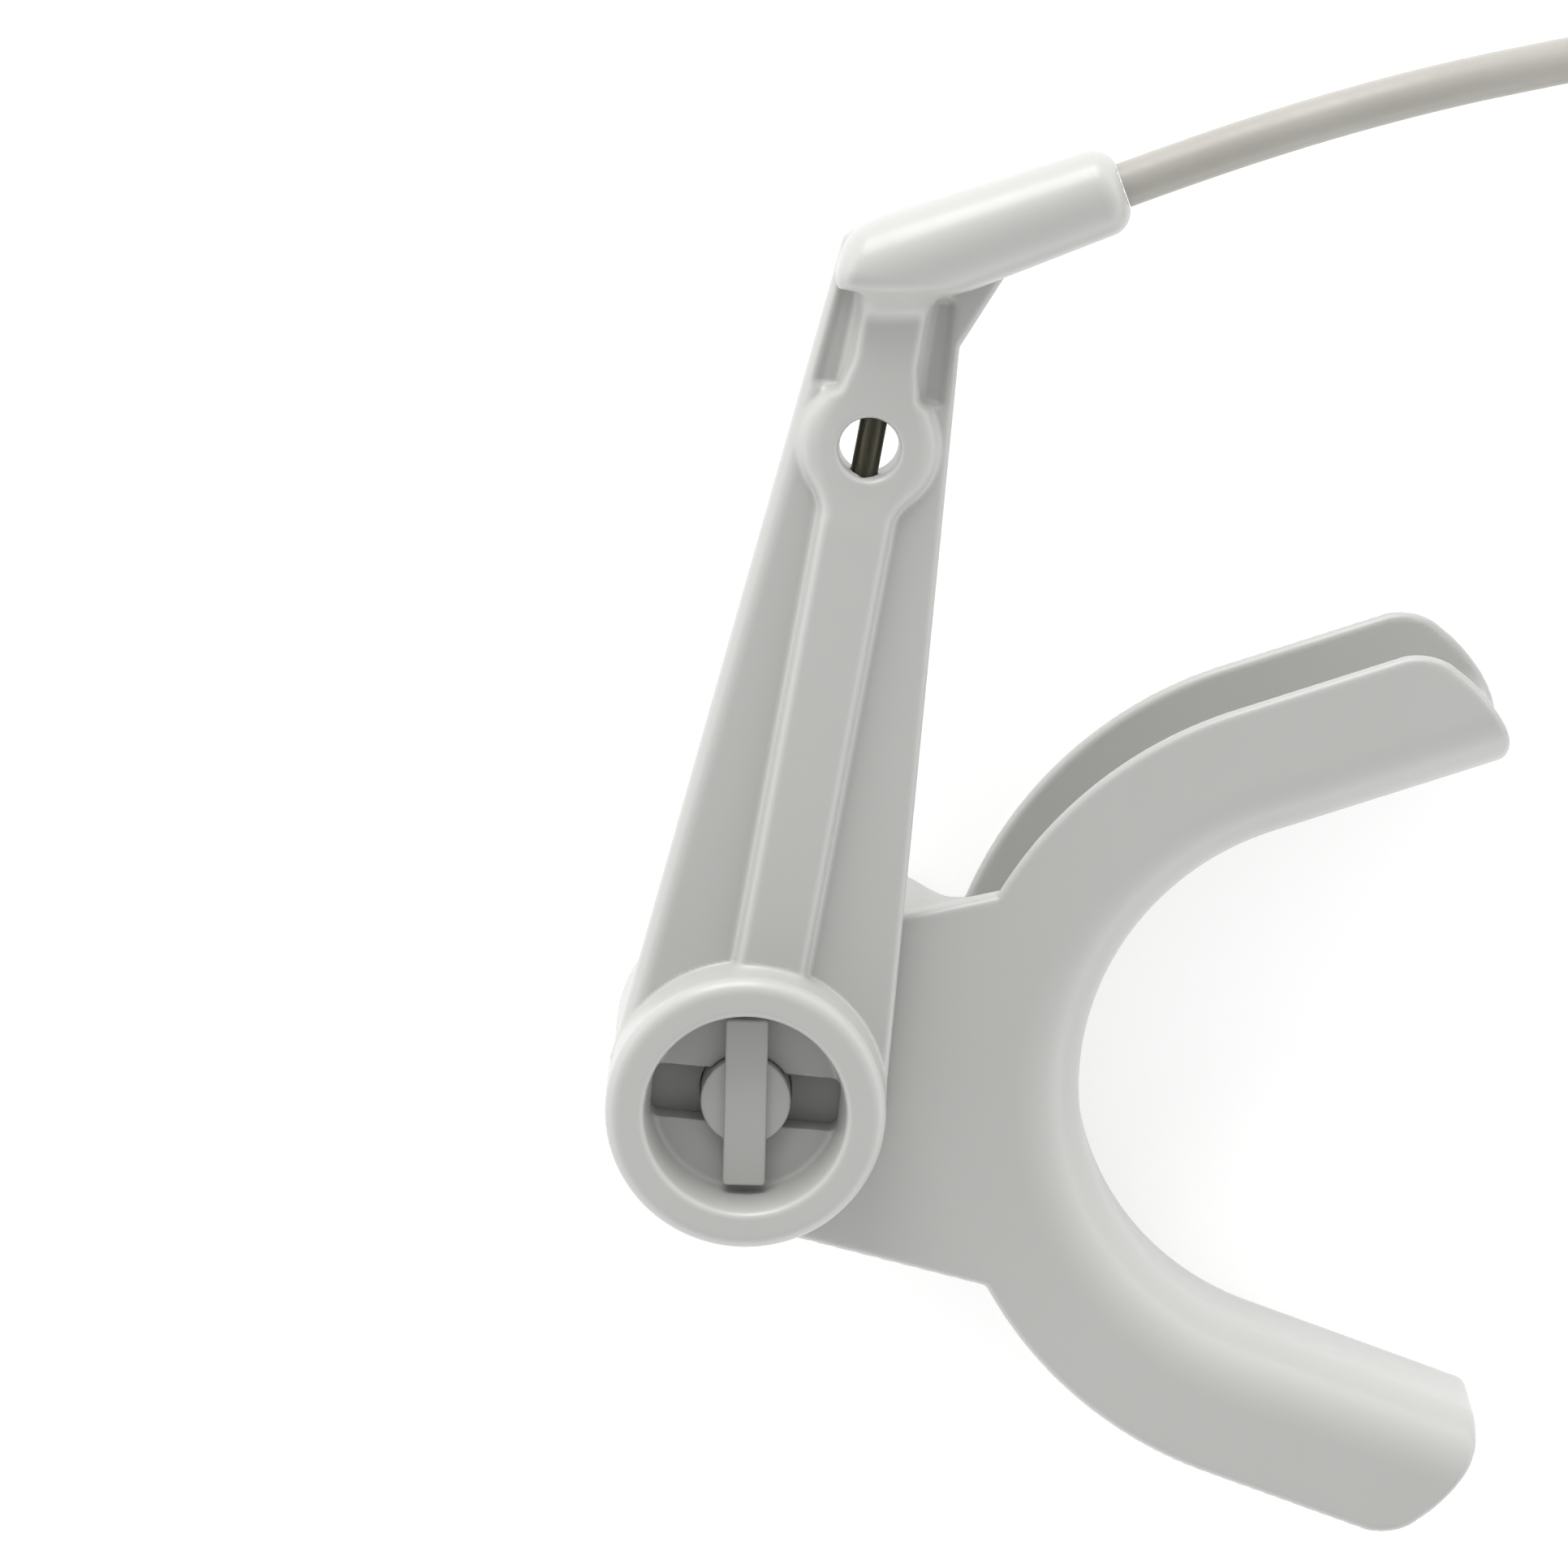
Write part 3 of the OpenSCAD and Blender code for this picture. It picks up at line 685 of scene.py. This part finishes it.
def coil_points(per_turn=24):
    """In on the lower layer, up a layer on the inside, and out again, clockwise from above.

    Each turn keeps its radius for most of the way round and steps to the next near the start
    of the coil, so that the turns lie beside each other. The cable's last part leaves on the
    outside of the upper layer and sags a little on its way to the plug.
    """
    turns = COIL_RADII + COIL_RADII[::-1]
    whole = len(turns)
    half = len(COIL_RADII)
    step = 360 / per_turn
    count = int((360 * whole + COIL_START) / step)
    points = []
    for i in range(count + 1):
        angle = COIL_START - i * step
        wound = i * step / 360
        turn = min(int(wound), whole - 1)
        r = turns[turn]
        if turn + 1 < whole:
            r += (turns[turn + 1] - r) * float(ramp(wound, turn + 1 - COIL_STEP, turn + 1))
        r += WRAP_PITCH * float(ramp(wound, whole - COIL_LEAVE, whole))
        z = LAY_Z + WRAP_PITCH * float(ramp(wound, half - COIL_STEP, half))
        past = max(0, wound - whole) * 360 / COIL_START
        z -= TAIL_SAG * math.sin(math.pi * past) ** 2
        points.append((COIL_X + r * math.cos(math.radians(angle)),
                       COIL_Y + r * math.sin(math.radians(angle)), z))
    return points


def smooth_curve(name, points, radius):
    """A round tube along one smooth open spline through the points."""
    data = bpy.data.curves.new(name, "CURVE")
    data.dimensions = "3D"
    data.bevel_depth = radius * MM
    data.bevel_resolution = 6
    data.use_fill_caps = True
    data.resolution_u = 5
    spline = data.splines.new("BEZIER")
    spline.bezier_points.add(len(points) - 1)
    for knot, point in zip(spline.bezier_points, points):
        knot.co = Vector(point) * MM
        knot.handle_left_type = "AUTO"
        knot.handle_right_type = "AUTO"
    piece = bpy.data.objects.new(name, data)
    bpy.context.scene.collection.objects.link(piece)
    return piece


def make_cable(jacket):
    """The whole cable from the elbow to the plug, as one cord."""
    route = LEAD_ROUTE + coil_points() + TAIL_ROUTE
    cable = smooth_curve("cable", route, CABLE_R)
    dress(cable, jacket, "cable_lead", "arm", "cable_lead", "cable_coil", "cable_tail")


def make_fork(plastic):
    piece = field_piece("fork", fork_field, (-13.3, -44.3, -1.2), (70.3, 44.3, 20.8), 0.45)
    dress(piece, plastic, "fork_frame", "fork", "fork_frame")


def make_pin(plastic):
    piece = field_piece("pivot_cross_pin", pin_field, (-4.6, -8.3, 3.4), (4.6, 8.3, 25.1), 0.17)
    dress(piece, plastic, "pivot_pin", "fork", "pivot_pin")


def make_arm(plastic):
    piece = field_piece("lever_arm", arm_field, (-13.3, -22.9, 19.3), (90.5, 13.3, 29.4), 0.27,
                        ARM_ANGLE)
    dress(piece, plastic, "arm_body", "arm", "arm_body")


def repaint(node, material):
    """Gives a CAD node that stays its better material."""
    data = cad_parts[node].data
    data.materials.clear()
    data.materials.append(material)


def paint_nodes(jacket):
    """Better materials for the rod, the parts in it, the tie and the plug."""
    repaint("sensor_rod", drawn_metal("rod_steel", (0.10, 0.095, 0.07), 0.28, (1, 0.1, 1)))
    repaint("sensor_element", moulded_plastic("epoxy", (0.03, 0.03, 0.03), (0.02, 0.02, 0.02)))
    repaint("lead_wire_1", moulded_plastic("wire_red", (0.45, 0.04, 0.03), (0.35, 0.03, 0.02)))
    repaint("lead_wire_2", moulded_plastic("wire_white", (0.7, 0.7, 0.68), (0.6, 0.6, 0.57)))
    repaint("cable_ferrule", drawn_metal("brass", (0.66, 0.49, 0.22), 0.3, (1, 1, 0.1)))
    repaint("cable_tie", woven_strap("strap"))
    repaint("plug_boot", jacket)
    repaint("plug_grip", moulded_plastic("grip_plastic", (0.52, 0.52, 0.49),
                                         (0.47, 0.47, 0.44), 0.45, 0.8))
    repaint("plug_shell", drawn_metal("nickel", (0.62, 0.61, 0.58), 0.22, (0.1, 1, 1)))
    repaint("plug_insert", moulded_plastic("insulator", (0.03, 0.03, 0.033),
                                           (0.02, 0.02, 0.022), 0.4))
    gold = drawn_metal("gold", (0.80, 0.58, 0.23), 0.2, (1, 0.1, 1))
    for i in range(1, 5):
        repaint("plug_pin_%d" % i, gold)


# ---- Light and floor ----

def make_floor():
    """A plain pale light table at the height the fork rests on."""
    size = 3.0
    corners = np.array([(-size, -size, 0), (size, -size, 0), (size, size, 0), (-size, size, 0)])
    floor = mesh_piece("floor", corners, np.array([[0, 1, 2, 3]]))
    material = new_material("floor", (0.8, 0.8, 0.8), 0.9, emission_strength=0.4,
                            emission_color=(1, 1, 1, 1))[0]
    floor.data.materials.append(material)


def make_sky():
    """Soft light all round, weaker from straight above than from the sides."""
    world = bpy.data.worlds.new("studio")
    bpy.context.scene.world = world
    world.use_nodes = True
    nodes = world.node_tree.nodes
    links = world.node_tree.links
    direction = nodes.new("ShaderNodeTexCoord").outputs["Generated"]
    parts = nodes.new("ShaderNodeSeparateXYZ")
    links.new(direction, parts.inputs["Vector"])
    bands = nodes.new("ShaderNodeValToRGB")
    elements = bands.color_ramp.elements
    while len(elements) < len(SKY_BANDS):
        elements.new(1.0)
    for element, (height, light) in zip(elements, SKY_BANDS):
        element.position = height
        element.color = (light, light, light, 1)
    links.new(parts.outputs["Z"], bands.inputs["Fac"])
    background = nodes["Background"]
    links.new(bands.outputs["Color"], background.inputs["Color"])
    background.inputs["Strength"].default_value = SKY_STRENGTH


def make_softbox(name, place, size, watts):
    """A square area light at a place, aimed at the object."""
    data = bpy.data.lights.new(name, "AREA")
    data.size = size
    data.energy = watts
    light = bpy.data.objects.new(name, data)
    bpy.context.scene.collection.objects.link(light)
    target = Vector((30, 30, 10)) * MM
    light.location = Vector(place)
    light.rotation_euler = (target - light.location).to_track_quat("-Z", "Y").to_euler()


make_camera()
jacket = cable_jacket("jacket")
make_cable(jacket)
white = moulded_plastic("white_plastic", (0.435, 0.434, 0.422), (0.422, 0.421, 0.408))
make_fork(white)
make_pin(white)
make_arm(white)
paint_nodes(jacket)
make_floor()
make_sky()
make_softbox("upper_left", (-0.2, 1.2, 0.42), 0.7, 9)
# Plain tones, so that a white table comes out white
bpy.context.scene.view_settings.view_transform = "Standard"
